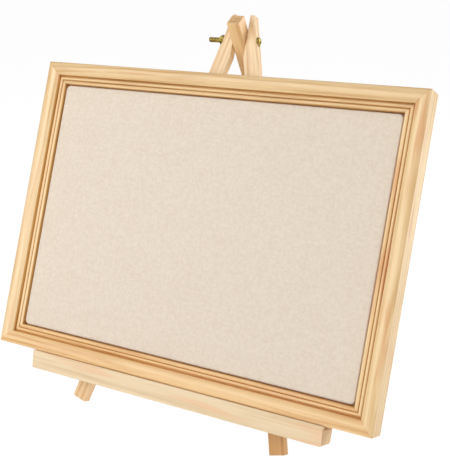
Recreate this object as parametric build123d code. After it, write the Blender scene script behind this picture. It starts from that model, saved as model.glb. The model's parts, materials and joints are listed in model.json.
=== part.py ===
"""A small folding table easel of pine sticks, holding a framed, linen-covered display board.

Millimetres. X runs to the right, Y to the back, Z up; the easel stands on Z = 0.

Most pieces are drawn on one of three planes:
  lean   on the front face of the two front legs: x right, y up the legs, z out to the front.
         Its x = 0 is the easel's middle and its y = 0 is the top of the ledge's lip.
  board  on the back of the framed board, which rests on the lip and leans on the legs,
         with its origin in the middle of the board.
  strut  on the rear leg: y up the leg, z to its front, origin on the pivot bolt's axis.
"""

import os
from math import cos, radians, sin, tan

from build123d import *

# ---- Stance -----------------------------------------------------------------------------------
lean_angle = 21.1       # front legs and board, back from upright
splay_angle = 15.0      # each front leg, out from the middle
strut_angle = 31.0      # rear leg, back from upright

# ---- Front legs -------------------------------------------------------------------------------
leg_width = 12.0
leg_thick = 7.0
leg_below_lip = 32.0    # middle of the foot's end, below the lip's top, up the legs
leg_above_bolt = 19.5
bolt_above_lip = 265.0
top_spread = 29.0       # over the two legs' outer faces, at the bolt
stick_ease = 0.5        # rounding along the sticks' long edges
top_ease = 1.2          # rounding of the front legs' top corners

# ---- Rear leg ---------------------------------------------------------------------------------
strut_width = 10.5
strut_thick = 10.5
strut_above_bolt = 19.4
strut_side_gap = 0.35   # each side, between the rear leg and a front leg
strut_top_ease = 0.3    # rounding of the rear leg's top edges

# ---- Ledge ------------------------------------------------------------------------------------
ledge_length = 250.0
ledge_depth = 20.5
ledge_height = 14.3
ledge_taper = 2.5       # the ledge is this much thinner below, so its front stands nearly upright
ledge_end_round = 1.5   # rounding of its two lower end corners
lip_thick = 4.0
lip_height = 3.0
lip_round = 1.1

# ---- Pivot bolt and its nut -------------------------------------------------------------------
bolt_dia = 4.0
bolt_length = 42.0      # under the head
bolt_head_dia = 7.0
bolt_head_height = 2.3
bolt_head_rim = 0.6
bolt_end_chamfer = 0.5
recess_width = 0.9      # cross recess in the head
recess_span = 4.0
recess_depth = 1.2
nut_flats = 7.0
nut_thick = 3.2
nut_chamfer = 0.4
running_gap = 0.05      # radial, for a piece that turns on its pin
leg_hole_gap = 0.15     # radial, for the bolt where it only passes through
seat_depth = 0.3        # how far the seats of head and nut are let in past the leg's middle line
seat_gap = 0.4          # around the nut's corners

# ---- Ledge screws -----------------------------------------------------------------------------
screw_dia = 3.0
screw_length = 18.0
screw_head_dia = 6.0
screw_head_height = 1.7
screw_below_lip = 8.0

# ---- Framed board -----------------------------------------------------------------------------
panel_width = 297.0     # A4, landscape
panel_height = 210.0
panel_gap = 0.5         # panel to rebate, each side
rail_back_width = 11.25
rail_face_width = 16.8
rail_depth = 18.5       # back to the outer front arris
crown_rise = 0.6        # broad round member, above the arris
crown_middle = 5.2      # in from the outer edge
crown_width = 9.9
crown_foot = 2.0        # below the arris, as the next four are
groove_depth = 5.6
bead_top = 3.6
bead_foot = 4.6
quirk_depth = 5.3       # the fine groove between the two beads
groove_width = 0.9
groove_floor = 0.45
bead_width = 2.6
quirk_width = 0.4
arris_ease = 0.4
board_rest_gap = 0.4    # board to lip
board_back_gap = 0.3    # board to front legs
board_offset = -1.5     # the board stands a little left of the easel's middle

# ---- What the frame holds, back to front ------------------------------------------------------
backing_inset = 0.2
backing_thick = 2.8
core_thick = 3.0
linen_thick = 0.8
hem_width = 15.0
foam_edge = 0.9         # foam squeezed under the frame's shoulder
pad_rise = 5.0          # padded front, above the shoulder
pad_gap = 0.5           # padded front to the frame's inner edge
pad_round = 2.0         # rounding of its front edges
pad_corner = 4.0        # rounding of its corners

# ---- Turn buttons and their screws ------------------------------------------------------------
button_length = 20.0
button_width = 9.0
button_thick = 1.2
button_gap = 0.1        # button to the frame's back, and to its screw's head
button_ease = 0.35
button_from_middle = 120.0
pin_dia = 2.4
pin_depth = 9.0
pin_head_dia = 5.0
pin_head_height = 1.4
pin_head_rim = 0.4
pin_recess_span = 2.6
pin_recess_width = 0.6
pin_recess_depth = 0.7

# ---- Corner nails -----------------------------------------------------------------------------
nail_arm = 2.6
nail_thick = 0.5
nail_depth = 7.0
nail_insets = (3.2, 7.4)

over = 1.0              # how far a cutting shape runs on past what it cuts

# ---- Worked out from the values above ---------------------------------------------------------
splay = radians(splay_angle)
frame_width = panel_width + 2 * (panel_gap + rail_back_width)
frame_height = panel_height + 2 * (panel_gap + rail_back_width)
sight_width = frame_width - 2 * rail_face_width
sight_height = frame_height - 2 * rail_face_width
hem_back = backing_inset + backing_thick
core_back = hem_back + linen_thick
foam_back = core_back + core_thick
foam_front = foam_back + foam_edge
shoulder = foam_front + linen_thick
pad_front = shoulder + pad_rise
button_front = -button_gap
button_back = button_front - button_thick
pin_seat = button_back - button_gap
pin_from_middle = frame_height / 2 - rail_back_width / 2
seat_x = top_spread / 2 - seat_depth
slot_half = strut_width / 2 + strut_side_gap
leg_half = leg_width / 2
leg_top = bolt_above_lip + leg_above_bolt
nut_corner = nut_flats / 2 / cos(radians(30))


def leg_middle_x(y):
    """Where the right leg's middle line is, at y on the lean plane."""
    return top_spread / 2 - leg_half / cos(splay) + (bolt_above_lip - y) * tan(splay)


# The foot's lowest point is its back inner corner, and it stands on Z = 0.
lean_out = Vector(0, -cos(radians(lean_angle)), sin(radians(lean_angle)))
foot_low = -leg_below_lip - leg_half * sin(splay)
lift = leg_thick * sin(radians(lean_angle)) - foot_low * cos(radians(lean_angle))
lean = Plane(origin=(0, 0, lift), x_dir=(1, 0, 0), z_dir=lean_out)
board_middle = (board_offset, frame_height / 2 + board_rest_gap, board_back_gap)
board = Plane(origin=lean.from_local_coords(board_middle), x_dir=(1, 0, 0), z_dir=lean_out)
bolt_point = lean.from_local_coords((0, bolt_above_lip, -leg_thick / 2))
strut_out = Vector(0, -cos(radians(strut_angle)), -sin(radians(strut_angle)))
strut = Plane(origin=bolt_point, x_dir=(1, 0, 0), z_dir=strut_out)
along_x = Rot(0, 90, 0)


# ---- Helpers ----------------------------------------------------------------------------------
def slab(width, height, low, high):
    """A block centred on x and y, from low to high in z."""
    return Pos(0, 0, (low + high) / 2) * Box(width, height, high - low)


def rod(radius, low, high):
    """A cylinder about z, from low to high."""
    return Pos(0, 0, (low + high) / 2) * Cylinder(radius, high - low)


def dome(radius, height, rim):
    """A screw's round head standing on z = 0, with a short straight rim."""
    outline = Polyline((0, height), (0, 0), (radius, 0), (radius, rim))
    outline += TangentArc((0, height), (radius, rim), tangent=(1, 0))
    return revolve(Plane.XZ * make_face(outline.edges()), Axis.Z)


def cross_recess(span, width, low, high):
    """The cross that a screwdriver fits, to cut from a head."""
    return slab(span, width, low, high) + slab(width, span, low, high)


def long_edges(shape, longer_than):
    return shape.edges().filter_by(lambda edge: edge.length > longer_than)


# ---- Easel ------------------------------------------------------------------------------------
def leg_blank():
    """The right front leg, before its holes: square foot, level top, inner edge cut upright."""
    foot_x = leg_middle_x(-leg_below_lip)
    across = (leg_half * cos(splay), leg_half * sin(splay))
    half_level = leg_half / cos(splay)
    slot_low = bolt_above_lip - (slot_half - leg_middle_x(bolt_above_lip) + half_level) / tan(splay)
    outline = Polyline(
        (foot_x - across[0], -leg_below_lip - across[1]),
        (foot_x + across[0], -leg_below_lip + across[1]),
        (leg_middle_x(leg_top) + half_level, leg_top),
        (slot_half, leg_top),
        (slot_half, slot_low),
        close=True,
    )
    face = make_face(outline.edges())
    face = fillet(face.vertices().group_by(Axis.Y)[-1], top_ease)
    blank = extrude(face, amount=-leg_thick)
    return fillet(long_edges(blank, leg_above_bolt), stick_ease)


def bolt():
    """Round-head machine screw along x: its head is on the right leg's side."""
    head = Pos(0, 0, seat_x) * dome(bolt_head_dia / 2, bolt_head_height, bolt_head_rim)
    head_top = seat_x + bolt_head_height
    head -= cross_recess(recess_span, recess_width, head_top - recess_depth, head_top + over)
    shank = rod(bolt_dia / 2, seat_x - bolt_length, seat_x)
    shank = chamfer(shank.edges().sort_by(Axis.Z)[0], bolt_end_chamfer)
    return lean * Pos(0, bolt_above_lip, -leg_thick / 2) * along_x * (head + shank)


def nut():
    blank = extrude(RegularPolygon(nut_corner, 6), amount=nut_thick)
    turned = Cylinder(nut_corner, nut_thick, align=(Align.CENTER, Align.CENTER, Align.MIN))
    turned = chamfer(turned.edges().filter_by(GeomType.CIRCLE), nut_chamfer)
    blank = (blank & turned) - rod(bolt_dia / 2 + running_gap, -over, nut_thick + over)
    upright = Rot(0, 0, 90)
    place = lean * Pos(-seat_x - nut_thick, bolt_above_lip, -leg_thick / 2) * along_x
    return place * upright * blank


def ledge_screw():
    """Countersunk screw along z, its head flush with the back of the leg."""
    back = -leg_thick
    head_low = back + screw_head_height
    head = Pos(0, 0, (back + head_low) / 2) * Cone(
        screw_head_dia / 2, screw_dia / 2, screw_head_height
    )
    return head + rod(screw_dia / 2, head_low, back + screw_length)


def ledge_screw_place(side):
    return lean * Pos(side * leg_middle_x(-screw_below_lip), -screw_below_lip, 0)


def front_leg(side):
    """side is 1 for the right leg and -1 for the left one."""
    blank = leg_blank()
    if side < 0:
        blank = blank.mirror(Plane.YZ)
    hole = rod(bolt_dia / 2 + leg_hole_gap, -top_spread, top_spread)
    seat_radius = (bolt_head_dia / 2 if side > 0 else nut_corner) + seat_gap
    seat = rod(seat_radius, seat_x, top_spread)
    place = Pos(0, bolt_above_lip, -leg_thick / 2) * along_x
    blank -= place * hole
    blank -= place * Rot(0, 0 if side > 0 else 180, 0) * seat
    return lean * blank - ledge_screw_place(side) * ledge_screw()


def rear_leg():
    """Square stick that turns on the bolt, its foot cut level."""
    below = bolt_point.Z / cos(radians(strut_angle)) + strut_thick
    length = below + strut_above_bolt
    stick = Pos(0, strut_above_bolt - length / 2, 0) * Box(strut_width, length, strut_thick)
    stick = fillet(long_edges(stick, strut_thick), stick_ease)
    stick = fillet(stick.faces().sort_by(Axis.Y)[-1].edges(), strut_top_ease)
    stick -= along_x * rod(bolt_dia / 2 + running_gap, -strut_width, strut_width)
    ground = Pos(0, 0, -length) * Box(2 * length, 2 * length, 2 * length)
    return strut * stick - ground


def ledge():
    """One rail across both legs: a shelf with a low lip along its front."""
    lip_back = ledge_depth - lip_thick
    outline = Polyline(
        (0, -ledge_height),
        (ledge_depth - ledge_taper, -ledge_height),
        (ledge_depth, 0),
        (lip_back, 0),
        (lip_back, -lip_height),
        (0, -lip_height),
        close=True,
    )
    face = make_face(outline.edges())
    lip_corners = face.vertices().group_by(Axis.Y)[-1].sort_by(Axis.X)
    face = fillet(lip_corners[-1], lip_round)
    face = fillet(face.vertices().group_by(Axis.Y)[0] + [lip_corners[0]], stick_ease)
    profile_plane = Plane(origin=(0, 0, 0), x_dir=(0, 0, 1), z_dir=(-1, 0, 0))
    rail = extrude(profile_plane * face, amount=ledge_length / 2, both=True)
    front = Pos(0, -ledge_height / 2) * Rectangle(ledge_length, ledge_height)
    front = fillet(front.vertices().group_by(Axis.Y)[0], ledge_end_round)
    rail = lean * (rail & extrude(front, amount=ledge_depth))
    for side in (1, -1):
        rail -= ledge_screw_place(side) * ledge_screw()
    return rail


# ---- Frame ------------------------------------------------------------------------------------
def rail_section():
    """x runs in from the frame's outer edge and y from its back to its front."""
    front = rail_depth
    groove_middle = crown_width + groove_width / 2
    bead_from = crown_width + groove_width
    quirk_from = bead_from + bead_width
    last_from = quirk_from + quirk_width
    outline = Polyline(
        (arris_ease, front),
        (0, front - arris_ease),
        (0, 0),
        (rail_back_width, 0),
        (rail_back_width, shoulder),
        (rail_face_width, shoulder),
        (rail_face_width, front - bead_foot - arris_ease),
    )
    outline += ThreePointArc(
        (rail_face_width, front - bead_foot - arris_ease),
        ((rail_face_width + last_from) / 2, front - bead_top),
        (last_from, front - bead_foot),
    )
    outline += Polyline(
        (last_from, front - bead_foot),
        ((quirk_from + last_from) / 2, front - quirk_depth),
        (quirk_from, front - bead_foot),
    )
    outline += ThreePointArc(
        (quirk_from, front - bead_foot),
        (bead_from + bead_width / 2, front - bead_top),
        (bead_from, front - bead_foot),
    )
    outline += Polyline(
        (bead_from, front - bead_foot),
        (groove_middle + groove_floor / 2, front - groove_depth),
        (groove_middle - groove_floor / 2, front - groove_depth),
        (crown_width, front - crown_foot),
    )
    outline += ThreePointArc(
        (crown_width, front - crown_foot), (crown_middle, front + crown_rise), (arris_ease, front)
    )
    return make_face(outline.edges())


def corner_nail(inset):
    """Steel V nail across a mitre, for the corner at the origin with its rails along +x and +y."""
    plan = Polygon(
        (inset, inset),
        (inset + nail_arm, inset),
        (inset + nail_arm, inset + nail_thick),
        (inset + nail_thick, inset + nail_thick),
        (inset + nail_thick, inset + nail_arm),
        (inset, inset + nail_arm),
        align=None,
    )
    return extrude(plan, amount=nail_depth)


def corner_nails():
    nails = []
    for turn in range(4):
        across, up = (frame_width, frame_height) if turn % 2 == 0 else (frame_height, frame_width)
        for inset in nail_insets:
            nails.append(Rot(0, 0, 90 * turn) * Pos(-across / 2, -up / 2, 0) * corner_nail(inset))
    return [board * nail for nail in nails]


def button_places():
    """Name and place of each turn button, its long end pointing to the middle of the board."""
    return {
        "bottom_left": Pos(-button_from_middle, -pin_from_middle, 0),
        "bottom_right": Pos(button_from_middle, -pin_from_middle, 0),
        "top_left": Pos(-button_from_middle, pin_from_middle, 0) * Rot(0, 0, 180),
        "top_right": Pos(button_from_middle, pin_from_middle, 0) * Rot(0, 0, 180),
    }


def button_pin():
    """Round-head screw that a turn button swings on."""
    head = Rot(180, 0, 0) * dome(pin_head_dia / 2, pin_head_height, pin_head_rim)
    recess_floor = pin_recess_depth - pin_head_height
    head -= cross_recess(pin_recess_span, pin_recess_width, -pin_head_height - over, recess_floor)
    return Pos(0, 0, pin_seat) * head + rod(pin_dia / 2, pin_seat, pin_depth)


def turn_button():
    plate = SlotOverall(button_length, button_width, rotation=90)
    plate = Pos(0, button_length / 2 - button_width / 2, 0) * plate
    plate -= Circle(pin_dia / 2 + running_gap)
    body = Pos(0, 0, button_back) * extrude(plate, amount=button_thick)
    back_edges = body.faces().sort_by(Axis.Z)[0].outer_wire().edges()
    return fillet(back_edges, button_ease)


def frame_rail(turn, fasteners):
    """turn is 0 for the bottom rail, 1 right, 2 top and 3 left."""
    across, up = (frame_width, frame_height) if turn % 2 == 0 else (frame_height, frame_width)
    bar = extrude(Plane.YZ * rail_section(), amount=across / 2, both=True)
    reach = rail_face_width + over
    mitres = Polygon(
        (-across / 2, 0),
        (across / 2, 0),
        (across / 2 - reach, reach),
        (-across / 2 + reach, reach),
        align=None,
    )
    bar &= Pos(0, 0, -over) * extrude(mitres, amount=rail_depth + crown_rise + 2 * over)
    rail = board * Rot(0, 0, 90 * turn) * Pos(0, -up / 2, 0) * bar
    for piece in fasteners:
        rail -= piece
    return rail


# ---- Panel ------------------------------------------------------------------------------------
def pad(inset, low):
    """The part of the panel that stands forward through the frame, inset on its front and sides."""
    around = 2 * (pad_gap + inset)
    block = slab(sight_width - around, sight_height - around, low, pad_front - inset)
    block = fillet(block.edges().filter_by(Axis.Z), pad_corner - inset)
    return fillet(block.faces().sort_by(Axis.Z)[-1].edges(), pad_round - inset)


def panel_slab(inset, low, high):
    return slab(panel_width - 2 * inset, panel_height - 2 * inset, low, high)


def foam_shape():
    return panel_slab(linen_thick, foam_back, foam_front) + pad(linen_thick, foam_back)


def linen_shape():
    """Cloth over the foam's front, round the core's edges and glued down behind as a hem."""
    cloth = panel_slab(0, hem_back, shoulder) + pad(0, hem_back)
    cloth -= panel_slab(linen_thick, core_back, foam_back)
    cloth -= foam_shape()
    return cloth - panel_slab(hem_width, hem_back - over, core_back + over)


# ---- Assembly ---------------------------------------------------------------------------------
nails = corner_nails()
pins = [board * place * button_pin() for place in button_places().values()]
pieces = {
    "left_leg": front_leg(-1),
    "right_leg": front_leg(1),
    "rear_leg": rear_leg(),
    "ledge": ledge(),
    "ledge_screws": Compound([ledge_screw_place(side) * ledge_screw() for side in (-1, 1)]),
    "pivot_bolt": bolt(),
    "pivot_nut": nut(),
    "corner_nails": Compound(nails),
    "button_screws": Compound(pins),
    "backing_board": board * panel_slab(0, backing_inset, hem_back),
    "core_board": board * panel_slab(linen_thick, core_back, foam_back),
    "foam_pad": board * foam_shape(),
    "linen_cover": board * linen_shape(),
}
for turn, name in enumerate(("bottom", "right", "top", "left")):
    pieces[f"frame_rail_{name}"] = frame_rail(turn, nails + pins)
for name, place in button_places().items():
    pieces[f"turn_button_{name}"] = board * place * turn_button()

# The origin is under the middle of the whole object's box.
box = Compound(list(pieces.values())).bounding_box()
origin = Vector(box.center().X, box.center().Y, 0)

os.makedirs("parts", exist_ok=True)
for name, shape in pieces.items():
    export_step(Pos(*-origin) * shape, f"parts/{name}.step")


def show(label, point):
    place = point - origin
    print(f"{label}: {place.X:.3f} {place.Y:.3f} {place.Z:.3f}")


print(f"box: {box.min.Z:.3f} to {box.max.Z:.3f} high, {box.size.X:.2f} x {box.size.Y:.2f}")
show("lean plane", lean.origin)
show("board plane", board.origin)
show("pivot", bolt_point)
for name, place in button_places().items():
    show(f"button {name}", board.from_local_coords(place.position))
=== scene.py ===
# %% [markdown]
# # A tabletop easel with a padded linen board
# The wood, the screws and the hinge pin are already measured and cut: they come in as a fixed
# frame. What is left for this script is what a maker would call finishing: the grain of each
# pine stick, the satin lacquer on the moulding, the plating on the bolt, and the linen that is
# pulled over its foam. Everything is in metres, with Z up and the easel standing on Z = 0.

# %% Load the frame
import json
import math

import bpy
from mathutils import Matrix, Vector


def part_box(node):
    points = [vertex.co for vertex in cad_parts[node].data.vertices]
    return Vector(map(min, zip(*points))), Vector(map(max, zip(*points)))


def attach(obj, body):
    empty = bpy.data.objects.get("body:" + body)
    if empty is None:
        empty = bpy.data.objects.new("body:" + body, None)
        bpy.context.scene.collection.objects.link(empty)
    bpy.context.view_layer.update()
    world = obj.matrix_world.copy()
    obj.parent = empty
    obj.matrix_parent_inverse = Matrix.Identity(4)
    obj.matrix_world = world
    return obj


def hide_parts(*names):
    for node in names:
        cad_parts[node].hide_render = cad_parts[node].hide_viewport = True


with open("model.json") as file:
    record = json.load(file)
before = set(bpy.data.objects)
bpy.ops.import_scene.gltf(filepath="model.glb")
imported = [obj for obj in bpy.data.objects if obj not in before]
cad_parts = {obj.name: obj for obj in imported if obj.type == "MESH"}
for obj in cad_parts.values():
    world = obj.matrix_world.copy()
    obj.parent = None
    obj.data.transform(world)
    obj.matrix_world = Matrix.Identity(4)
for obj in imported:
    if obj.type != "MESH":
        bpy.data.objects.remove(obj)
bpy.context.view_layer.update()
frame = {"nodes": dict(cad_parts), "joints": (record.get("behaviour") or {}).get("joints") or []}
print("pieces from the workshop:", len(frame["nodes"]))

# %% [markdown]
# The board leans back, and most of what follows is easier to think of on the board itself:
# across it, up it and out of it. So the first values are those three directions, and a helper
# that says how far any piece reaches along one of them. Measuring the real pieces keeps this
# script right even if the workshop moves them.

# %% Directions of the leaning board
LEAN = math.radians(21.1)
across = Vector((1, 0, 0))
board_up = Vector((0, math.sin(LEAN), math.cos(LEAN)))
board_out = Vector((0, -math.cos(LEAN), math.sin(LEAN)))


def reach(name, direction):
    """The lowest and highest place of a workshop piece along a direction."""
    places = [vertex.co.dot(direction) for vertex in frame["nodes"][name].data.vertices]
    return min(places), max(places)


def middle(name, direction):
    """Half way between the two ends of a workshop piece along a direction."""
    return sum(reach(name, direction)) / 2


board_middle = (
    across * middle("frame_rail_bottom", across)
    + board_up * middle("frame_rail_left", board_up)
    + board_out * reach("frame_rail_left", board_out)[0]
)
rail_low, rail_high = reach("frame_rail_left", board_up)
board_half_height = (rail_high - rail_low) / 2
rail_left, rail_right = reach("frame_rail_bottom", across)
board_half_width = (rail_right - rail_left) / 2
print("board:", round(2 * board_half_width, 4), "by", round(2 * board_half_height, 4))

# %% [markdown]
# ## Camera
# A long lens from the right and a little above flattens the frame's corners only slightly, so
# the board still reads as a rectangle while its side and its ledge show. The camera is placed
# by two angles and a distance from a point in the middle of the easel.

# %% Camera
CAMERA_AZIMUTH = math.radians(28.7)
CAMERA_ELEVATION = math.radians(17.72)
CAMERA_DISTANCE = 0.6936
CAMERA_AIM = Vector((0, -0.05038, 0.1319))
LENS_MM = 67.35

away = Vector(
    (
        math.sin(CAMERA_AZIMUTH) * math.cos(CAMERA_ELEVATION),
        -math.cos(CAMERA_AZIMUTH) * math.cos(CAMERA_ELEVATION),
        math.sin(CAMERA_ELEVATION),
    )
)
bpy.ops.object.camera_add(location=CAMERA_AIM + CAMERA_DISTANCE * away)
camera = bpy.context.object
camera.rotation_euler = away.to_track_quat("Z", "Y").to_euler()
camera.data.lens = LENS_MM
bpy.context.scene.camera = camera
print("camera at", [round(value, 3) for value in camera.location])

# %% [markdown]
# ## Light
# Small craft goods are lit in a white tent: light comes from everywhere, and lamps outside the
# tent give the mouldings their bright and dark sides. A plain white surrounding is the tent. The
# key lamp stands in front on the left, and five weaker or more distant ones lift the right side,
# the top and the back. All have a wide face, which keeps every shadow edge soft.

# %% Surrounding and lamps
bpy.context.scene.view_settings.view_transform = "Standard"
TENT_STRENGTH = 0.25

world = bpy.data.worlds.new("white_tent")
world.use_nodes = True
tree = world.node_tree
tent = tree.nodes["Background"]
tent.inputs["Color"].default_value = (1.0, 1.0, 1.0, 1.0)
seen = tree.nodes.new("ShaderNodeLightPath").outputs["Is Camera Ray"]
tent_light = tree.nodes.new("ShaderNodeMapRange")
tent_light.inputs["To Min"].default_value = TENT_STRENGTH
tree.links.new(seen, tent_light.inputs["Value"])
tree.links.new(tent_light.outputs["Result"], tent.inputs["Strength"])
bpy.context.scene.world = world


def lamp(name, place, size, power):
    """A square area lamp that faces the point the camera faces."""
    bpy.ops.object.light_add(type="AREA", location=place)
    made = bpy.context.object
    made.name = name
    made.rotation_euler = (Vector(place) - CAMERA_AIM).to_track_quat("Z", "Y").to_euler()
    made.data.size = size
    made.data.energy = power


lamp("key_lamp", (-0.34, -0.74, 0.52), size=0.7, power=3.9)
lamp("front_lamp", (0.1, -1.2, 0.45), size=0.8, power=0.8)
lamp("fill_lamp", (0.8, -0.8, 0.5), size=0.8, power=2.6)
lamp("side_lamp", (0.8, 0.7, 0.5), size=0.8, power=8.6)
lamp("top_lamp", (0.0, -0.1, 1.2), size=0.8, power=0.8)
lamp("back_lamp", (-0.1, 0.9, 0.9), size=0.8, power=1.5)

# %% [markdown]
# ## Helpers for materials
# A material is a small graph. A few helpers keep the graphs short enough to read: they add a
# node with its settings, write a sum, mix colours, draw noise, and start a group with named
# sockets, so that an effect used by several finishes is built once.


# %% Node helpers
def new_node(tree, kind, values=(), **settings):
    """A shader node. values fills its inputs, settings its properties."""
    made = tree.nodes.new("ShaderNode" + kind)
    for name, value in settings.items():
        setattr(made, name, value)
    for name, value in dict(values).items():
        if isinstance(value, bpy.types.NodeSocket):
            tree.links.new(value, made.inputs[name])
        else:
            made.inputs[name].default_value = value
    return made


def maths(tree, operation, *values, clamp=False):
    """One Math node on sockets or numbers. Returns the result's socket."""
    made = tree.nodes.new("ShaderNodeMath")
    made.operation, made.use_clamp = operation, clamp
    for socket, value in zip(made.inputs, values):
        if isinstance(value, bpy.types.NodeSocket):
            tree.links.new(value, socket)
        else:
            socket.default_value = value
    return made.outputs[0]


def vectors(tree, operation, *values, result="Vector"):
    """One Vector Math node on sockets or vectors. Returns the result's socket."""
    made = tree.nodes.new("ShaderNodeVectorMath")
    made.operation = operation
    for socket, value in zip(made.inputs, values):
        if isinstance(value, bpy.types.NodeSocket):
            tree.links.new(value, socket)
        else:
            socket.default_value = value
    return made.outputs[result]


def ramp(tree, value, low, high, to_low=0.0, to_high=1.0):
    """Turns low..high into to_low..to_high with soft ends. Returns the result's socket."""
    made = tree.nodes.new("ShaderNodeMapRange")
    made.interpolation_type = "SMOOTHSTEP"
    tree.links.new(value, made.inputs["Value"])
    limits = {"From Min": low, "From Max": high, "To Min": to_low, "To Max": to_high}
    for name, limit in limits.items():
        made.inputs[name].default_value = limit
    return made.outputs["Result"]


def mix(tree, factor, first, second, blend="MIX"):
    """Mixes two colours. Returns the result's socket."""
    made = tree.nodes.new("ShaderNodeMix")
    made.data_type, made.blend_type = "RGBA", blend
    sockets = [made.inputs[0], made.inputs[6], made.inputs[7]]
    for socket, value in zip(sockets, (factor, first, second)):
        if isinstance(value, bpy.types.NodeSocket):
            tree.links.new(value, socket)
        else:
            socket.default_value = value
    return made.outputs[2]


def noise(tree, vector, scale, detail=2.0, roughness=0.5):
    """Smooth noise from 0 to 1. Returns its socket."""
    values = {"Vector": vector, "Scale": scale, "Detail": detail, "Roughness": roughness}
    return new_node(tree, "TexNoise", values).outputs["Fac"]


def new_group(name, inputs, outputs):
    """A node group. inputs is a list of (label, kind, value), outputs of (label, kind)."""
    tree = bpy.data.node_groups.new(name, "ShaderNodeTree")
    for label, kind, value in inputs:
        socket = tree.interface.new_socket(label, in_out="INPUT", socket_type="NodeSocket" + kind)
        socket.default_value = value
    for label, kind in outputs:
        tree.interface.new_socket(label, in_out="OUTPUT", socket_type="NodeSocket" + kind)
    return tree, tree.nodes.new("NodeGroupInput").outputs, tree.nodes.new("NodeGroupOutput").inputs


def place_group(tree, group, **values):
    """Puts a group in a material. An underscore in a value's name stands for a space."""
    made = tree.nodes.new("ShaderNodeGroup")
    made.node_tree = group
    for name, value in values.items():
        socket = made.inputs[name.replace("_", " ")]
        if isinstance(value, bpy.types.NodeSocket):
            tree.links.new(value, socket)
        else:
            socket.default_value = value
    return made.outputs


def chip(red, green, blue):
    """A colour from a paint chip's numbers, 0 to 255, as the renderer wants it."""
    channels = [value / 255 for value in (red, green, blue)]
    return (*[value / 12.92 if value <= 0.04045 else ((value + 0.055) / 1.055) ** 2.4
              for value in channels], 1.0)


def new_material(name):
    """An empty finish. Returns the material, its graph and its Principled shader."""
    material = bpy.data.materials.new(name)
    material.use_nodes = True
    return material, material.node_tree, material.node_tree.nodes["Principled BSDF"]


def piece_coordinates(tree, origin, along, side):
    """Object coordinates on a piece's own axes: x along it, y to its side. Returns a socket."""
    upward = along.cross(side)
    turn = Matrix((along, side, upward)).transposed().to_euler()
    start = new_node(tree, "TexCoord").outputs["Object"]
    values = {"Vector": start, "Location": origin, "Rotation": turn}
    return new_node(tree, "Mapping", values, vector_type="TEXTURE").outputs["Vector"]


def dress(material, *names):
    """Gives a finish to workshop pieces."""
    for name in names:
        slots = frame["nodes"][name].data.materials
        slots.clear()
        slots.append(material)


# %% [markdown]
# ## Pine
# Pine is a stack of yearly rings: wide pale early wood and a thin, darker line of late wood.
# A stick is a thin sample of that stack, so its lines run along it and bend slowly. A solid
# pattern in three directions does this best, because the lines then carry over each edge and
# turn into arcs on the cut ends by themselves. The group measures how far a point is from the
# tree's middle, which lies outside the stick, lets that distance wander, and draws a line each
# time it passes a ring. Fine fibres, resin streaks and slow patches of colour go on top.

# %% Group: pine grain
pine_grain, given, gives = new_group(
    "pine_grain",
    [
        ("Vector", "Vector", (0.0, 0.0, 0.0)),
        ("Early Wood", "Color", (0.8, 0.6, 0.4, 1.0)),
        ("Late Wood", "Color", (0.6, 0.4, 0.2, 1.0)),
        ("Blush", "Color", (0.8, 0.5, 0.3, 1.0)),
        ("Ring Width", "Float", 0.0042),
        ("Ring Contrast", "Float", 0.6),
        ("Pith", "Vector", (0.0, 0.03, 0.02)),
        ("Shift", "Vector", (0.0, 0.0, 0.0)),
    ],
    [("Color", "Color"), ("Late", "Float"), ("Height", "Float")],
)
tree = pine_grain
shifted = vectors(tree, "ADD", given["Vector"], given["Shift"])


def stretched(scale_along, scale_across, detail=2.0, roughness=0.5):
    """Noise drawn out along the grain."""
    scales = (scale_along, scale_across, scale_across)
    place = vectors(pine_grain, "MULTIPLY", shifted, scales)
    return noise(pine_grain, place, 1.0, detail, roughness)


SLOW_WANDER = 0.0105
FINE_WANDER = 0.0012
slow_wander = maths(tree, "MULTIPLY", stretched(7.0, 45.0, 1.5), SLOW_WANDER)
fine_wander = maths(tree, "MULTIPLY", stretched(30.0, 160.0), FINE_WANDER)
from_pith = vectors(tree, "SUBTRACT", given["Vector"], given["Pith"])
from_pith = vectors(tree, "MULTIPLY", from_pith, (0.0, 1.0, 1.0))
distance = vectors(tree, "LENGTH", from_pith, result="Value")
distance = maths(tree, "ADD", distance, maths(tree, "ADD", slow_wander, fine_wander))
ring_phase = maths(tree, "FRACT", maths(tree, "DIVIDE", distance, given["Ring Width"]))
LATE_START, LATE_PEAK = 0.35, 0.88
late_rise = ramp(tree, ring_phase, LATE_START, LATE_PEAK)
late_fall = ramp(tree, ring_phase, LATE_PEAK, 1.0, 1.0, 0.0)
ring_strength = ramp(tree, stretched(9.0, 140.0), 0.3, 0.7, 0.25, 1.0)
late = maths(tree, "MULTIPLY", maths(tree, "MULTIPLY", late_rise, late_fall), ring_strength)
fibres = stretched(60.0, 2600.0, 3.0, 0.6)
fibre_shade = ramp(tree, fibres, 0.35, 0.75, -0.06, 0.09)
resin_shade = ramp(tree, stretched(10.0, 520.0), 0.48, 0.72, 0.0, 0.4)
patch_shade = ramp(tree, stretched(14.0, 60.0), 0.3, 0.7, -0.1, 0.14)
darkening = maths(tree, "MULTIPLY", late, given["Ring Contrast"])
darkening = maths(tree, "ADD", darkening, fibre_shade)
darkening = maths(tree, "ADD", darkening, resin_shade)
darkening = maths(tree, "ADD", darkening, patch_shade, clamp=True)
wood = mix(tree, darkening, given["Early Wood"], given["Late Wood"])
blushing = ramp(tree, stretched(16.0, 130.0, 1.5), 0.5, 0.68, 0.0, 0.6)
tree.links.new(mix(tree, blushing, wood, given["Blush"]), gives["Color"])
tree.links.new(late, gives["Late"])
tree.links.new(maths(tree, "ADD", maths(tree, "MULTIPLY", late, 0.5), fibres), gives["Height"])
print("group:", pine_grain.name, len(tree.nodes), "nodes")

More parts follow.
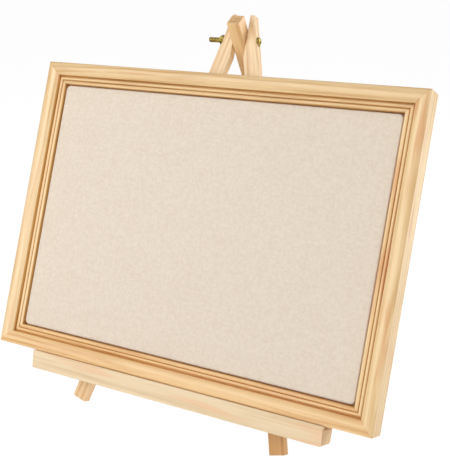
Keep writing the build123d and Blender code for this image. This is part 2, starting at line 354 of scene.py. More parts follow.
# %% [markdown]
# Cut ends drink more lacquer than the long faces, so they are a shade deeper. The group compares
# the direction of each face with that of the stick, which works on any stick however it leans.

# %% Group: cut ends
cut_ends, given, gives = new_group(
    "cut_ends",
    [
        ("Color", "Color", (0.8, 0.6, 0.4, 1.0)),
        ("Normal", "Vector", (0.0, 0.0, 1.0)),
        ("Along", "Vector", (1.0, 0.0, 0.0)),
        ("Depth", "Float", 0.35),
    ],
    [("Color", "Color"), ("End", "Float")],
)
tree = cut_ends
facing = vectors(tree, "DOT_PRODUCT", given["Normal"], given["Along"], result="Value")
end = ramp(tree, maths(tree, "ABSOLUTE", facing), 0.6, 0.9)
darker = mix(tree, 1.0, given["Color"], chip(222, 190, 150), "MULTIPLY")
strength = maths(tree, "MULTIPLY", end, given["Depth"])
tree.links.new(mix(tree, strength, given["Color"], darker), gives["Color"])
tree.links.new(end, gives["End"])
print("group:", cut_ends.name)

# %% [markdown]
# The eased edges of a stick are painted paler, as a painted highlight where they catch the light.
# They are where a face points along none of the stick's three directions, and that is simple to
# ask of each point, so no edge has to be marked one by one.

# %% Group: painted highlight on the edges
painted_edge_highlight, given, gives = new_group(
    "painted_edge_highlight",
    [
        ("Color", "Color", (0.8, 0.6, 0.4, 1.0)),
        ("Rubbed", "Color", (0.9, 0.8, 0.6, 1.0)),
        ("Normal", "Vector", (0.0, 0.0, 1.0)),
        ("Along", "Vector", (1.0, 0.0, 0.0)),
        ("Side", "Vector", (0.0, 1.0, 0.0)),
        ("Amount", "Float", 0.5),
    ],
    [("Color", "Color"), ("Edge", "Float")],
)
tree = painted_edge_highlight
upward = vectors(tree, "CROSS_PRODUCT", given["Along"], given["Side"])
nearest = 0.0
for direction in (given["Along"], given["Side"], upward):
    facing = vectors(tree, "DOT_PRODUCT", given["Normal"], direction, result="Value")
    nearest = maths(tree, "MAXIMUM", maths(tree, "ABSOLUTE", facing), nearest)
# Painted highlight: faces that point along none of the three directions get the paler colour.
edge = ramp(tree, nearest, 0.84, 0.93, 1.0, 0.0)
strength = maths(tree, "MULTIPLY", edge, given["Amount"])
tree.links.new(mix(tree, strength, given["Color"], given["Rubbed"]), gives["Color"])
tree.links.new(edge, gives["Edge"])
print("group:", painted_edge_highlight.name)

# %% [markdown]
# The lower end of each leg is painted darker, as painted shade for the shadow that the ledge casts
# on the feet. The group darkens the last centimetres along a stick, which it measures from the
# pivot down.

# %% Group: painted shade on the feet
painted_foot_shade, given, gives = new_group(
    "painted_foot_shade",
    [
        ("Color", "Color", (0.8, 0.6, 0.4, 1.0)),
        ("Soiled", "Color", (0.7, 0.5, 0.3, 1.0)),
        ("Vector", "Vector", (0.0, 0.0, 0.0)),
        ("Start", "Float", -0.22),
        ("End", "Float", -0.27),
        ("Amount", "Float", 0.5),
    ],
    [("Color", "Color"), ("Soil", "Float")],
)
tree = painted_foot_shade
parts = new_node(tree, "SeparateXYZ", {"Vector": given["Vector"]}).outputs
values = {"Value": parts["X"], "From Min": given["Start"], "From Max": given["End"]}
foot_shade_mask = new_node(tree, "MapRange", values).outputs["Result"]
# Painted shade: the darker colour stands in for the shadow under the ledge.
darker = mix(tree, 1.0, given["Color"], given["Soiled"], "MULTIPLY")
strength = maths(tree, "MULTIPLY", foot_shade_mask, given["Amount"])
tree.links.new(mix(tree, strength, given["Color"], darker), gives["Color"])
tree.links.new(foot_shade_mask, gives["Soil"])
print("group:", painted_foot_shade.name)

# %% [markdown]
# The narrow grooves of a moulding are painted darker, as painted shade where they lie in shadow.
# Each groove runs at one known distance from the rail's outer edge, so the group tints a narrow
# band there.

# %% Group: painted shade in the grooves
painted_groove_shade, given, gives = new_group(
    "painted_groove_shade",
    [
        ("Color", "Color", (0.8, 0.6, 0.4, 1.0)),
        ("Pooled", "Color", (0.6, 0.4, 0.2, 1.0)),
        ("Vector", "Vector", (0.0, 0.0, 0.0)),
        ("Inset", "Float", 0.01),
        ("Half Width", "Float", 0.0006),
        ("Amount", "Float", 1.0),
    ],
    [("Color", "Color"), ("Pool", "Float")],
)
tree = painted_groove_shade
parts = new_node(tree, "SeparateXYZ", {"Vector": given["Vector"]}).outputs
from_middle = maths(tree, "ABSOLUTE", maths(tree, "SUBTRACT", parts["Y"], given["Inset"]))
# Painted shade: a narrow band is darkened where the groove lies in shadow.
groove_shade_mask = ramp(tree, maths(tree, "DIVIDE", from_middle, given["Half Width"]), 0.5, 1.0, 1.0, 0.0)
darker = mix(tree, 1.0, given["Color"], given["Pooled"], "MULTIPLY")
strength = maths(tree, "MULTIPLY", groove_shade_mask, given["Amount"])
tree.links.new(mix(tree, strength, given["Color"], darker), gives["Color"])
tree.links.new(groove_shade_mask, gives["Pool"])
print("group:", painted_groove_shade.name)

# %% [markdown]
# A joint between two mitred rails shows as a faint hair line with dust in it. It lies on the two
# sloping planes at the ends of a rail, so the group draws it where a point is nearly as far from
# the rail's end as from its outer edge.

# %% Group: mitre line
mitre_line, given, gives = new_group(
    "mitre_line",
    [
        ("Color", "Color", (0.8, 0.6, 0.4, 1.0)),
        ("Vector", "Vector", (0.0, 0.0, 0.0)),
        ("Half Length", "Float", 0.16),
        ("Line Width", "Float", 0.00025),
    ],
    [("Color", "Color"), ("Line", "Float")],
)
tree = mitre_line
parts = new_node(tree, "SeparateXYZ", {"Vector": given["Vector"]}).outputs
from_end = maths(tree, "SUBTRACT", given["Half Length"], maths(tree, "ABSOLUTE", parts["X"]))
from_plane = maths(tree, "ABSOLUTE", maths(tree, "SUBTRACT", from_end, parts["Y"]))
from_plane = maths(tree, "DIVIDE", from_plane, given["Line Width"])
line = maths(tree, "SUBTRACT", 1.0, from_plane, clamp=True)
joint_dust = mix(tree, 1.0, given["Color"], chip(222, 184, 140), "MULTIPLY")
tree.links.new(mix(tree, line, given["Color"], joint_dust), gives["Color"])
tree.links.new(line, gives["Line"])
print("group:", mitre_line.name)

# %% [markdown]
# ## The sticks and the ledge
# Each stick is cut from another place in the plank, so each gets its own shift and its own
# distance from the tree's middle; two sticks with the same lines would look printed. The legs
# have a thin clear lacquer. The ledge is paler and drier, sanded but not lacquered.


# %% Pine for one piece
blush = chip(243, 196, 152)
# The colour of the painted highlight on the eased edges.
edge_highlight_colour = chip(255, 240, 206)
# The colour of the painted shade on the feet.
foot_shade_colour = chip(212, 186, 150)


def pine(name, origin, along, side, early, late, pith, shift, ring_width=0.0042,
         contrast=0.75, roughness=0.48, coat=0.25, edge_highlight=0.0, foot_shade=0.0, mitre=0.0,
         groove_shades=(), blush=blush):
    """Pine with its grain along one direction, with painted shade in grooves given as (inset, half
    width, colour)s.
    """
    material, tree, shader = new_material(name)
    place = piece_coordinates(tree, origin, along, side)
    grain = place_group(
        tree, pine_grain, Vector=place, Early_Wood=early, Late_Wood=late, Blush=blush,
        Pith=pith, Shift=shift, Ring_Width=ring_width, Ring_Contrast=contrast,
    )
    face = new_node(tree, "TexCoord").outputs["Normal"]
    colour = place_group(tree, cut_ends, Color=grain["Color"], Normal=face, Along=along)["Color"]
    # Painted highlight on the eased edges.
    if edge_highlight:
        colour = place_group(tree, painted_edge_highlight, Color=colour, Rubbed=edge_highlight_colour, Normal=face,
                             Along=along, Side=side, Amount=edge_highlight)["Color"]
    # Painted shade on the lower end of the leg.
    if foot_shade:
        colour = place_group(tree, painted_foot_shade, Color=colour, Soiled=foot_shade_colour, Vector=place,
                             Amount=foot_shade)["Color"]
    # Painted shade in the grooves and on the inner wall.
    for inset, half_width, shade_colour in groove_shades:
        colour = place_group(tree, painted_groove_shade, Color=colour, Pooled=shade_colour, Vector=place,
                             Inset=inset, Half_Width=half_width)["Color"]
    if mitre:
        colour = place_group(tree, mitre_line, Color=colour, Vector=place,
                             Half_Length=mitre)["Color"]
    tree.links.new(colour, shader.inputs["Base Color"])
    sheen = ramp(tree, grain["Late"], 0.0, 1.0, roughness, roughness - 0.08)
    tree.links.new(sheen, shader.inputs["Roughness"])
    values = {"Strength": 0.35, "Distance": 0.00012, "Height": grain["Height"]}
    tree.links.new(new_node(tree, "Bump", values).outputs["Normal"], shader.inputs["Normal"])
    shader.inputs["Coat Weight"].default_value = coat
    shader.inputs["Coat Roughness"].default_value = 0.28
    return material


# %% Sticks and ledge
SPLAY = math.radians(15)
STRUT = math.radians(31)
stick_early, stick_late = chip(251, 222, 178), chip(216, 168, 108)
rear_early, rear_late = chip(250, 214, 160), chip(208, 156, 94)
ledge_early, ledge_late = chip(243, 219, 182), chip(216, 184, 138)
left_along = board_up * math.cos(SPLAY) + across * math.sin(SPLAY)
right_along = board_up * math.cos(SPLAY) - across * math.sin(SPLAY)
strut_along = Vector((0, -math.sin(STRUT), math.cos(STRUT)))
fold = next(joint for joint in frame["joints"] if joint["name"] == "strut_fold")
pivot = Vector(fold["pos_m"])

dress(
    pine("pine_left_leg", pivot, left_along, board_out, stick_early, stick_late,
         (0.0, 0.021, 0.035), (0.3, 0.1, 0.2), edge_highlight=0.5, foot_shade=0.25),
    "left_leg",
)
# The right foot gets the strongest painted shade, the left foot a quarter of it.
dress(
    pine("pine_right_leg", pivot, right_along, board_out, stick_early, stick_late,
         (0.0, -0.026, 0.031), (1.7, 0.4, 0.9), edge_highlight=0.5, foot_shade=1.0),
    "right_leg",
)
dress(
    pine("pine_rear_leg", pivot, strut_along, across, rear_early, rear_late,
         (0.0, 0.006, 0.019), (2.9, 1.3, 0.6), ring_width=0.0034, contrast=0.8, edge_highlight=0.4),
    "rear_leg",
)
dress(
    pine("pine_ledge", pivot, across, board_up, ledge_early, ledge_late,
         (0.0, -0.23, 0.15), (5.1, 2.2, 0.8), ring_width=0.0055, contrast=0.6,
         roughness=0.62, coat=0.0, edge_highlight=0.45),
    "ledge",
)
print("sticks dressed")

# %% [markdown]
# ## The moulding
# The frame is four lengths of one moulding, mitred at the corners, so the grain runs along each
# rail and meets its neighbour's at the mitre. The same pine is used four times, each with the
# direction and the colours of its own rail, and the hair line of the joint is drawn on all of
# them. Painted shade darkens the groove, the quirk beside the bead, and the inner wall, where
# shadow lies.

# %% Four rails
# Colours of the painted shade in the groove, in the quirk, and on the inner wall beside the dark
# gap.
groove = (0.01035, 0.0006, chip(236, 214, 164))
quirk = (0.0136, 0.00042, chip(228, 200, 146))
inner_wall = (0.0168, 0.0005, chip(218, 190, 134))


def rail(side, along, inward, to_edge, half_length, early, late, blush, pith, shift):
    """Dresses one length of the moulding, measured from the middle of its outer edge."""
    edge = board_middle - inward * to_edge
    finish = pine("pine_moulding_" + side, edge, along, inward, early, late, pith, shift,
                  roughness=0.42, coat=0.35, mitre=half_length,
                  groove_shades=(groove, quirk, inner_wall), blush=blush)
    dress(finish, "frame_rail_" + side)


rail("bottom", across, board_up, board_half_height, board_half_width,
     chip(246, 207, 151), chip(215, 157, 88), chip(240, 194, 142),
     (0.0, -0.022, 0.004), (4.0, 0.7, 1.1))
rail("right", board_up, -across, board_half_width, board_half_height,
     chip(247, 216, 164), chip(217, 168, 102), chip(222, 152, 94),
     (0.0, 0.031, -0.018), (6.3, 1.9, 0.2))
rail("top", -across, -board_up, board_half_height, board_half_width,
     chip(237, 204, 152), chip(206, 156, 94), chip(216, 176, 128),
     (0.0, -0.035, 0.012), (8.8, 2.6, 1.7))
rail("left", -board_up, across, board_half_width, board_half_height,
     chip(249, 219, 170), chip(219, 172, 108), chip(243, 198, 152),
     (0.0, 0.027, -0.025), (11.2, 3.1, 0.5))
print("rails dressed")

# %% [markdown]
# ## Metal
# The bolt and its nut are steel with a yellow passivated zinc plating, which is a little
# uneven in hue. The small screws are bright zinc and the turn buttons are stamped and brassed.
# One group gives them all the same life, a slow change from metal to tarnish and a fine
# speckle, and each finish sets its own colours. The nut has been turned by hand, so it is rougher
# than the bolt, and its colours are a darker copy of the bolt's, which paints shade on it.

# %% Group: plating
plating, given, gives = new_group(
    "plating",
    [
        ("Vector", "Vector", (0.0, 0.0, 0.0)),
        ("Metal", "Color", (0.7, 0.6, 0.3, 1.0)),
        ("Tarnish", "Color", (0.5, 0.4, 0.2, 1.0)),
        ("Polish", "Float", 0.3),
    ],
    [("Color", "Color"), ("Roughness", "Float"), ("Height", "Float")],
)
tree = plating
cloud = ramp(tree, noise(tree, given["Vector"], 420.0, 3.0), 0.35, 0.68)
speckle = noise(tree, given["Vector"], 5200.0, 2.0)
tree.links.new(mix(tree, cloud, given["Metal"], given["Tarnish"]), gives["Color"])
rough = maths(tree, "ADD", given["Polish"], maths(tree, "MULTIPLY", cloud, 0.14))
rough = maths(tree, "ADD", rough, maths(tree, "MULTIPLY", speckle, 0.06))
tree.links.new(rough, gives["Roughness"])
tree.links.new(speckle, gives["Height"])


def plated(name, metal, tarnish, polish):
    """A plated steel finish."""
    material, tree, shader = new_material(name)
    place = new_node(tree, "TexCoord").outputs["Object"]
    skin = place_group(tree, plating, Vector=place, Metal=metal, Tarnish=tarnish, Polish=polish)
    tree.links.new(skin["Color"], shader.inputs["Base Color"])
    tree.links.new(skin["Roughness"], shader.inputs["Roughness"])
    values = {"Strength": 0.2, "Distance": 0.00003, "Height": skin["Height"]}
    tree.links.new(new_node(tree, "Bump", values).outputs["Normal"], shader.inputs["Normal"])
    shader.inputs["Metallic"].default_value = 1.0
    return material


yellow_zinc = plated("yellow_zinc", chip(206, 180, 100), chip(132, 110, 56), 0.24)
zinc_screw = plated("zinc_screw", chip(206, 208, 210), chip(176, 180, 186), 0.3)
brassed_steel = plated("brassed_steel", chip(226, 192, 110), chip(196, 156, 84), 0.24)
# A darker copy of the yellow zinc: painted shade on the nut, with a rougher polish.
shaded_zinc = plated("yellow_zinc_shaded", chip(160, 142, 70), chip(110, 96, 46), 0.4)
dress(shaded_zinc, "pivot_nut")
dress(zinc_screw, "ledge_screws", "corner_nails")
dress(
    brassed_steel,
    "button_screws",
    *(f"turn_button_{level}_{side}" for level in ("bottom", "top") for side in ("left", "right")),
)
print("metal dressed")

# %% [markdown]
# ## Boards behind the linen
# The back is hardboard, brown and pressed smooth with short fibres in it, and the core is raw
# fibreboard, which only shows at its edges. Both are the same graph with other colours.


# %% Pressed boards
def pressed_board(name, light, dark, roughness):
    """Fibres pressed flat: short flecks over a slow change of colour."""
    material, tree, shader = new_material(name)
    place = piece_coordinates(tree, board_middle, across, board_up)
    flecks = noise(tree, vectors(tree, "MULTIPLY", place, (900.0, 2600.0, 2600.0)), 1.0, 3.0, 0.7)
    clouds = noise(tree, place, 60.0, 3.0)
    fleck_shade = ramp(tree, flecks, 0.3, 0.7, 0.0, 0.7)
    shade = maths(tree, "ADD", fleck_shade, ramp(tree, clouds, 0.3, 0.7, 0.0, 0.3))
    tree.links.new(mix(tree, shade, light, dark), shader.inputs["Base Color"])
    sheen = ramp(tree, flecks, 0.3, 0.7, roughness, roughness + 0.15)
    tree.links.new(sheen, shader.inputs["Roughness"])
    values = {"Strength": 0.3, "Distance": 0.0001, "Height": flecks}
    tree.links.new(new_node(tree, "Bump", values).outputs["Normal"], shader.inputs["Normal"])
    return material


dress(pressed_board("hardboard", chip(158, 116, 78), chip(118, 80, 50), 0.42), "backing_board")
dress(pressed_board("fibreboard", chip(206, 180, 146), chip(176, 146, 112), 0.75), "core_board")
print("boards dressed")

# %% [markdown]
# ## Floor
# The easel stands on the white floor of the tent. A plain wide plane does it, far larger than
# what is seen, so it has no edge. It takes shadows as a matt surface does, and mostly glows for
# the camera alone, which keeps it white without lighting the easel from below.

# %% Floor
FLOOR_SIZE = 60
CAMERA_GLOW = 0.85
bpy.ops.mesh.primitive_plane_add(size=FLOOR_SIZE)
floor = bpy.context.object
floor.name = "floor"
floor_white, tree, shader = new_material("floor_white")
shader.inputs["Base Color"].default_value = (0.86, 0.86, 0.86, 1.0)
shader.inputs["Roughness"].default_value = 0.7
glow = new_node(tree, "Emission", {"Color": (1.0, 1.0, 1.0, 1.0), "Strength": 1.12})
seen = new_node(tree, "LightPath").outputs["Is Camera Ray"]
blend = new_node(tree, "MixShader", {"Fac": maths(tree, "MULTIPLY", seen, CAMERA_GLOW)})
tree.links.new(shader.outputs["BSDF"], blend.inputs[1])
tree.links.new(glow.outputs["Emission"], blend.inputs[2])
tree.links.new(blend.outputs["Shader"], tree.nodes["Material Output"].inputs["Surface"])
floor.data.materials.append(floor_white)
print("floor:", FLOOR_SIZE, "m wide")

# %% [markdown]
# ## Linen over foam
# The display panel is a core board with a layer of foam, and linen pulled over both and glued
# behind. Pulled cloth makes a shape that is hard to draw: nearly flat in the middle, rounded
# where it turns down to the frame, tighter along the edges than at the corners. So the panel
# starts as a plain block with a step, the part in front of the frame's shoulder is blown up a
# little like a cushion, and the part behind the shoulder is held still. What the cloth does in
# between is what the linen does on the real panel.
#
# The block is drawn lying flat in its own directions, x across, y up and z out, and is laid on
# the leaning board at the end.

# %% Measures of the panel
linen_left, linen_right = reach("linen_cover", across)
linen_low, linen_high = reach("linen_cover", board_up)
back_plane = board_middle.dot(board_out)
hem_back, pad_front = [place - back_plane for place in reach("linen_cover", board_out)]
sight_half_width = reach("frame_rail_right", across)[0]
PAD_GAP = 0.0004
STEP = 0.0085
START_BELOW = 0.0005
CORNER_ROUND = 0.0034
RIM_ROUND = 0.0011
print("panel front", round(pad_front, 4), "opening", round(2 * sight_half_width, 4))


# %% Working on one piece at a time
def only(piece):
    """Selects one piece and nothing else, so that an operator acts on it alone."""
    bpy.ops.object.select_all(action="DESELECT")
    piece.select_set(True)
    bpy.context.view_layer.objects.active = piece


def pick(piece, kind, wanted):
    """In edit mode, selects the vertices, edges or faces for which wanted is true."""
    bpy.ops.mesh.select_mode(type=kind)
    bpy.ops.mesh.select_all(action="DESELECT")
    bpy.ops.object.mode_set(mode="OBJECT")
    parts = {"VERT": piece.data.vertices, "EDGE": piece.data.edges, "FACE": piece.data.polygons}
    for part in parts[kind]:
        part.select = wanted(part)
    bpy.ops.object.mode_set(mode="EDIT")


def apply_modifiers(piece):
    """Applies every modifier of a piece, the first one first."""
    only(piece)
    for modifier in list(piece.modifiers):
        bpy.ops.object.modifier_apply(modifier=modifier.name)


# %% [markdown]
# The block is the size of the panel's hidden part. Its front face is inset to the frame's
# opening and pulled forward, and the rim is rounded, because foam never keeps a sharp corner.

# %% Stepped block
bpy.ops.object.select_all(action="DESELECT")
bpy.ops.mesh.primitive_cube_add(size=1, location=(0, 0, (hem_back + STEP) / 2))
linen_pad = bpy.context.object
linen_pad.name = "linen_pad"
linen_pad.scale = (linen_right - linen_left, linen_high - linen_low, STEP - hem_back)
bpy.ops.object.transform_apply(location=True, rotation=True, scale=True)
step_in = linen_right - sight_half_width + PAD_GAP
bpy.ops.object.mode_set(mode="EDIT")
pick(linen_pad, "FACE", lambda face: face.normal.z > 0.9)
bpy.ops.mesh.inset(thickness=step_in)
rise = pad_front - START_BELOW - STEP
bpy.ops.mesh.extrude_region_move(TRANSFORM_OT_translate={"value": (0, 0, rise)})
bpy.ops.object.mode_set(mode="OBJECT")
places = linen_pad.data.vertices


def upright_pad_corner(edge):
    """True for the four edges that stand up at the corners of the raised part."""
    first, second = [places[number].co for number in edge.vertices]
    tall = abs(first.z - second.z) > rise / 2
    return tall and max(first.z, second.z) > STEP + rise / 2


bpy.ops.object.mode_set(mode="EDIT")
pick(linen_pad, "EDGE", upright_pad_corner)
bpy.ops.mesh.bevel(offset=CORNER_ROUND, segments=5, affect="EDGES")
pick(linen_pad, "FACE", lambda face: face.normal.z > 0.9 and face.center.z > STEP + rise / 2)
bpy.ops.mesh.region_to_loop()
bpy.ops.mesh.bevel(offset=RIM_ROUND, segments=3, affect="EDGES")
bpy.ops.object.mode_set(mode="OBJECT")
print("block:", len(linen_pad.data.polygons), "faces")

# %% [markdown]
# Remeshing gives the block the even, small faces that cloth needs. The group called held says
# how firmly each point is kept: fully behind the shoulder and under the frame's edge, and not
# at all a few millimetres in front of it. A light pressure from inside then does the padding.
# What the cloth finds is then held back a little, by less than a millimetre out of the board and
# still less to its sides, so that the pad never reaches the frame.

# %% Cloth under a light pressure
PRESSURE = 0.5
SIMULATED_FRAMES = 20
VOXEL = 0.0022
HELD_ABOVE_STEP = 0.0003
FREE_ABOVE_STEP = 0.0015
CROWN_LIMIT = 0.0007
SIDE_LIMIT = 0.0003


def eased(amount, limit):
    """Passes a small movement on and lets a large one close in on the limit."""
    return math.copysign(limit * (1 - math.exp(-abs(amount) / limit)), amount)


only(linen_pad)
linen_pad.data.remesh_voxel_size = VOXEL
bpy.ops.object.voxel_remesh()
start = [vertex.co.copy() for vertex in linen_pad.data.vertices]
held = linen_pad.vertex_groups.new(name="held")
for vertex in linen_pad.data.vertices:
    below_free = STEP + FREE_ABOVE_STEP - vertex.co.z
    firmness = min(1.0, max(0.0, below_free / (FREE_ABOVE_STEP - HELD_ABOVE_STEP)))
    held.add([vertex.index], firmness, "REPLACE")
print("remeshed:", len(start), "points")

bpy.ops.object.modifier_add(type="CLOTH")
cloth = linen_pad.modifiers[-1]
cloth.settings.use_pressure = True
cloth.settings.uniform_pressure_force = PRESSURE
cloth.settings.effector_weights.gravity = 0.0
cloth.settings.vertex_group_mass = "held"
for number in range(1, SIMULATED_FRAMES + 1):
    bpy.context.scene.frame_set(number)
bpy.ops.object.modifier_apply(modifier=cloth.name)
bpy.context.scene.frame_set(1)

largest = 0.0
for vertex, first in zip(linen_pad.data.vertices, start):
    step = vertex.co - first
    largest = max(largest, step.length)
    step = (eased(step.x, SIDE_LIMIT), eased(step.y, SIDE_LIMIT), eased(step.z, CROWN_LIMIT))
    vertex.co = first + Vector(step)
linen_pad.vertex_groups.clear()
print("largest movement before it is eased:", round(largest, 4))

# %% [markdown]
# One level of subdivision takes the last facets out of the cloth. The pad is then turned from
# its own flat directions into the board's, and its place goes into the mesh, as every finished
# piece's does.

# %% Finished pad, laid on the board
bpy.ops.object.modifier_add(type="SUBSURF")
linen_pad.modifiers[-1].levels = linen_pad.modifiers[-1].render_levels = 1
apply_modifiers(linen_pad)
bpy.ops.object.shade_smooth()
board_place = Matrix((across, board_up, board_out)).transposed().to_4x4()
board_place.translation = board_middle
linen_pad.matrix_world = board_place
bpy.ops.object.transform_apply(location=True, rotation=True, scale=True)
front_reach = max((vertex.co - board_middle).dot(board_out) for vertex in linen_pad.data.vertices)
print("pad front at", round(front_reach, 5), "of", round(pad_front, 5))

# %% [markdown]
# ## Linen
# The cloth is a plain weave: each thread goes over one and under the next, so from close by it
# is a board of little pillows, and from afar only a soft, slightly mottled tone. The group
# draws both thread systems from their rounded profiles, a chequer says which one is on top, and
# every thread gets its own slow thick and thin places, as spun flax has.

# %% Group: plain weave
plain_weave, given, gives = new_group(
    "plain_weave",
    [
        ("Vector", "Vector", (0.0, 0.0, 0.0)),
        ("Thread", "Float", 0.00065),
        ("Yarn", "Color", (0.8, 0.8, 0.7, 1.0)),
        ("Shade", "Color", (0.6, 0.6, 0.5, 1.0)),
    ],
    [("Color", "Color"), ("Height", "Float"), ("Slub", "Float")],
)
tree = plain_weave
THREAD_DRIFT = 0.0009
drift = new_node(tree, "TexNoise", {"Vector": given["Vector"], "Scale": 140.0, "Detail": 1.0})
drift = vectors(tree, "MULTIPLY", drift.outputs["Color"], (THREAD_DRIFT, THREAD_DRIFT, 0.0))
counted = vectors(tree, "ADD", given["Vector"], drift)
counted = new_node(tree, "SeparateXYZ", {"Vector": counted}).outputs
counts = [maths(tree, "DIVIDE", counted[axis], given["Thread"]) for axis in "XY"]
warp, weft = [maths(tree, "ABSOLUTE", maths(tree, "SINE", maths(tree, "MULTIPLY", count, math.pi)))
              for count in counts]
numbers = [maths(tree, "FLOOR", count) for count in counts]
weft_on_top = maths(tree, "FLOORED_MODULO", maths(tree, "ADD", *numbers), 2.0)
warp_height = maths(tree, "MULTIPLY", warp, maths(tree, "MULTIPLY_ADD", weft, 0.45, 0.55))
weft_height = maths(tree, "MULTIPLY", weft, maths(tree, "MULTIPLY_ADD", warp, 0.45, 0.55))
slubs = []
for own, run in ((numbers[0], counts[1]), (numbers[1], counts[0])):
    seed = maths(tree, "MULTIPLY", own, 7.31)
    values = {"X": maths(tree, "MULTIPLY", run, 0.045), "Y": seed}
    lane = new_node(tree, "CombineXYZ", values).outputs["Vector"]
    slubs.append(noise(tree, lane, 1.0, 1.0))


def top_thread(of_warp, of_weft):
    """Takes the value of whichever thread is on top."""
    difference = maths(plain_weave, "SUBTRACT", of_weft, of_warp)
    return maths(plain_weave, "MULTIPLY_ADD", difference, weft_on_top, of_warp)


height = top_thread(warp_height, weft_height)
slub = ramp(tree, top_thread(*slubs), 0.3, 0.7)
cloud = noise(tree, given["Vector"], 420.0, 3.0)
tone = maths(tree, "MULTIPLY_ADD", height, 0.4, maths(tree, "MULTIPLY", slub, 0.22))
tone = maths(tree, "ADD", tone, ramp(tree, cloud, 0.25, 0.75, 0.0, 0.38), clamp=True)
tree.links.new(mix(tree, tone, given["Shade"], given["Yarn"]), gives["Color"])
tree.links.new(maths(tree, "MULTIPLY_ADD", slub, 0.25, height), gives["Height"])
tree.links.new(slub, gives["Slub"])
print("group:", plain_weave.name, len(tree.nodes), "nodes")

# %% [markdown]
# Raw linen is a warm, pale grey-brown and quite matt, with a faint sheen from loose fibres. The
# weave follows the board's own directions, so its threads run along the frame as they do when a
# panel is covered with care.

# %% Linen on the pad
linen, tree, shader = new_material("linen")
on_board = piece_coordinates(tree, board_middle, across, board_up)
yarn, between_yarns = chip(244, 231, 214), chip(223, 206, 185)
cloth = place_group(tree, plain_weave, Vector=on_board, Yarn=yarn, Shade=between_yarns)
tree.links.new(cloth["Color"], shader.inputs["Base Color"])
tree.links.new(ramp(tree, cloth["Slub"], 0.0, 1.0, 0.92, 0.82), shader.inputs["Roughness"])
values = {"Strength": 0.5, "Distance": 0.00016, "Height": cloth["Height"]}
tree.links.new(new_node(tree, "Bump", values).outputs["Normal"], shader.inputs["Normal"])
shader.inputs["Sheen Weight"].default_value = 0.2
shader.inputs["Sheen Roughness"].default_value = 0.6
linen_pad.data.materials.append(linen)
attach(linen_pad, "display_board")
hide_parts("linen_cover", "foam_pad")
print("linen pad:", len(linen_pad.data.polygons), "faces")

# %% [markdown]
# ## The pivot bolt
# The bolt comes from the workshop as a plain pin with a head, because a thread is only a
# finish to the easel. Here it gets its thread. One tooth of an M4 thread is drawn as a short
# zigzag beside the axis, and a Screw modifier winds it along the axis, one tooth for each turn.
# Both ends are cut square and closed, and the head is taken over from the workshop's own bolt.

# %% Thread
PITCH = 0.0007
TOOTH_DEPTH = 0.0004
TOOTH = ((0.35, 1), (0.12, 0), (0.41, -1), (0.12, 0))
STEPS_IN_A_TURN = 20
SAME_POINT = 0.00001
bolt_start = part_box("pivot_bolt")[0].x
bolt_places = [vertex.co for vertex in frame["nodes"]["pivot_bolt"].data.vertices]


def from_axis(place):
    """How far a point is from the bolt's axis."""
    return (place.yz - pivot.yz).length


shank_radius = max(from_axis(place) for place in bolt_places if place.x < pivot.x)
head_under = min(place.x for place in bolt_places if from_axis(place) > shank_radius * 1.2)
print("shank radius", round(shank_radius, 4), "head under at", round(head_under, 4))

bpy.ops.object.select_all(action="DESELECT")
bpy.ops.mesh.primitive_plane_add(size=PITCH)
thread = bpy.context.object
thread.name = "pivot_bolt_threaded"
bpy.ops.object.mode_set(mode="EDIT")
bpy.ops.mesh.select_mode(type="VERT")
bpy.ops.mesh.select_all(action="SELECT")
bpy.ops.mesh.merge(type="CENTER")
root = shank_radius - TOOTH_DEPTH
bpy.ops.transform.translate(value=(bolt_start - PITCH, root, 0))
for along_axis, outward in TOOTH:
    move = (along_axis * PITCH, outward * TOOTH_DEPTH, 0)
    bpy.ops.mesh.extrude_region_move(TRANSFORM_OT_translate={"value": move})
bpy.ops.object.mode_set(mode="OBJECT")
turns = math.ceil((head_under - bolt_start) / PITCH) + 2
bpy.ops.object.modifier_add(type="SCREW")
winding = thread.modifiers[-1]
winding.axis, winding.screw_offset, winding.iterations = "X", PITCH, turns
winding.steps = winding.render_steps = STEPS_IN_A_TURN
winding.use_merge_vertices, winding.merge_threshold = True, SAME_POINT
apply_modifiers(thread)
print("thread:", turns, "turns,", len(thread.data.polygons), "faces")

# %% [markdown]
# The winding is longer than the bolt at both ends, so it is cut there and the cuts are filled.
# The last cut face is pulled out to a short blunt cone, which is what helps a nut to start.

# %% Ends of the thread
POINT = 0.0005
POINT_NARROWING = 0.8
INTO_HEAD = 0.0002


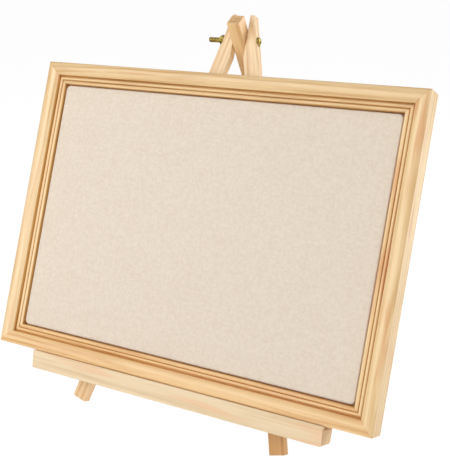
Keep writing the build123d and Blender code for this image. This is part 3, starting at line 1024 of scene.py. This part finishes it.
def cut_off(piece, at, keep_above):
    """Cuts a piece square to X, closes the cut, and keeps one side."""
    only(piece)
    bpy.ops.object.mode_set(mode="EDIT")
    bpy.ops.mesh.select_all(action="SELECT")
    bpy.ops.mesh.bisect(plane_co=(at, 0, 0), plane_no=(1, 0, 0), use_fill=True,
                        clear_inner=keep_above, clear_outer=not keep_above)
    bpy.ops.object.mode_set(mode="OBJECT")


cut_off(thread, bolt_start + POINT, True)
cut_off(thread, head_under + INTO_HEAD, False)
bpy.ops.object.mode_set(mode="EDIT")
pick(thread, "FACE", lambda face: abs(face.center.x - bolt_start - POINT) < SAME_POINT)
bpy.ops.mesh.extrude_region_move(TRANSFORM_OT_translate={"value": (-POINT, 0, 0)})
narrower = (1, POINT_NARROWING, POINT_NARROWING)
bpy.ops.transform.resize(value=narrower, center_override=(bolt_start, 0, 0))
bpy.ops.object.mode_set(mode="OBJECT")
print("thread ends cut")

# %% [markdown]
# The head of the workshop's bolt is already right, with its rounded rim and its slot, so it is
# copied and its shank is cut away. The copy's loose triangles are merged first, or the cut could
# not be closed. The thread runs a little way into the head, and the two are joined to one piece.

# %% Head, from the workshop's bolt
HAIR = 0.000001
SMOOTH_BELOW = math.radians(35)
bolt_copy = frame["nodes"]["pivot_bolt"].data.copy()
head = bpy.data.objects.new("pivot_bolt_head", bolt_copy)
bpy.context.collection.objects.link(head)
only(head)
bpy.ops.object.mode_set(mode="EDIT")
bpy.ops.mesh.select_all(action="SELECT")
bpy.ops.mesh.remove_doubles(threshold=HAIR)
bpy.ops.object.mode_set(mode="OBJECT")
cut_off(head, head_under + HAIR, True)
thread.location = (0, pivot.y, pivot.z)
only(thread)
bpy.ops.object.transform_apply(location=True, rotation=True, scale=True)
head.data.materials.clear()
head.select_set(True)
bpy.ops.object.join()
bpy.ops.object.mode_set(mode="EDIT")
bpy.ops.mesh.select_all(action="SELECT")
bpy.ops.mesh.normals_make_consistent(inside=False)
bpy.ops.object.mode_set(mode="OBJECT")
bpy.ops.object.shade_smooth_by_angle(angle=SMOOTH_BELOW)
thread.data.materials.append(yellow_zinc)
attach(thread, "stand")
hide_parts("pivot_bolt")
print("bolt:", len(thread.data.polygons), "faces")
